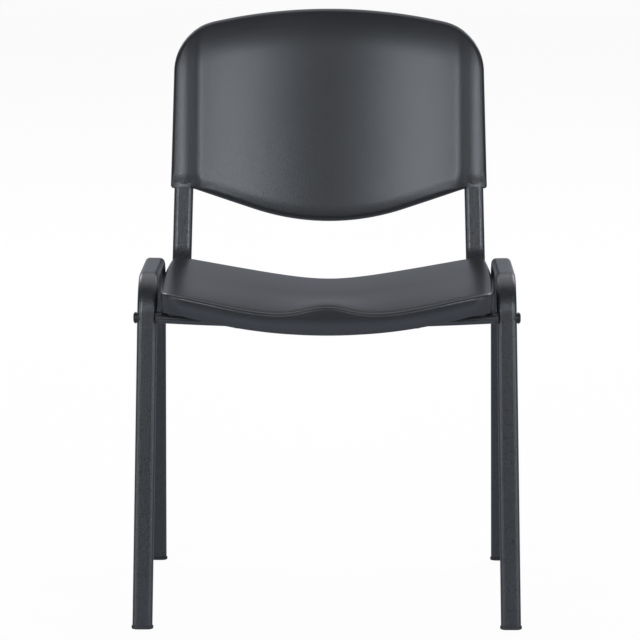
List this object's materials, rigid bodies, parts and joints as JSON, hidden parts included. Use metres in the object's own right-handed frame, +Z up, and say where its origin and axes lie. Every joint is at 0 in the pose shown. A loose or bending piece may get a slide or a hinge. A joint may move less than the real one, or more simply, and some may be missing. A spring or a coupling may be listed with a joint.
{
  "type": "visitor chair",
  "caption": "Stacking visitor chair: bent flat-oval tube leg hoops, cross bars and uprights carry a moulded saddle seat and a curved backrest sleeved over the uprights.",
  "frame": {"origin": "on the floor under the middle of the chair's box", "axes": "+Z up, +Y from the chair's front to its back, +X to the right of a viewer who faces the front"},
  "size_m": [0.5444, 0.5644, 0.8167],
  "materials": {
    "frame_coat": "black powder coat with a fine texture, semi-matt",
    "shell_plastic": "charcoal black polypropylene with a fine grain, satin",
    "fitting_plastic": "black nylon, smooth matt",
    "fastener": "black-finished steel"
  },
  "bodies": {
    "root": {"left_leg_hoop": "frame_coat", "right_leg_hoop": "frame_coat", "left_seat_back_tube": "frame_coat", "right_seat_back_tube": "frame_coat", "front_cross_bar": "frame_coat", "rear_cross_bar": "frame_coat", "rail_welds": "frame_coat", "frame_bolts": "fastener", "seat_screws": "fastener", "backrest_screws": "fastener", "thread_inserts": "fastener", "front_left_foot": "fitting_plastic", "front_left_spacer": "fitting_plastic", "front_right_foot": "fitting_plastic", "front_right_spacer": "fitting_plastic", "rear_left_foot": "fitting_plastic", "rear_left_spacer": "fitting_plastic", "rear_right_foot": "fitting_plastic", "rear_right_spacer": "fitting_plastic", "left_rail_plug": "fitting_plastic", "right_rail_plug": "fitting_plastic", "saddle_washers": "fitting_plastic", "seat_shell": "shell_plastic", "backrest_shell": "shell_plastic"}
  },
  "joints": []
}
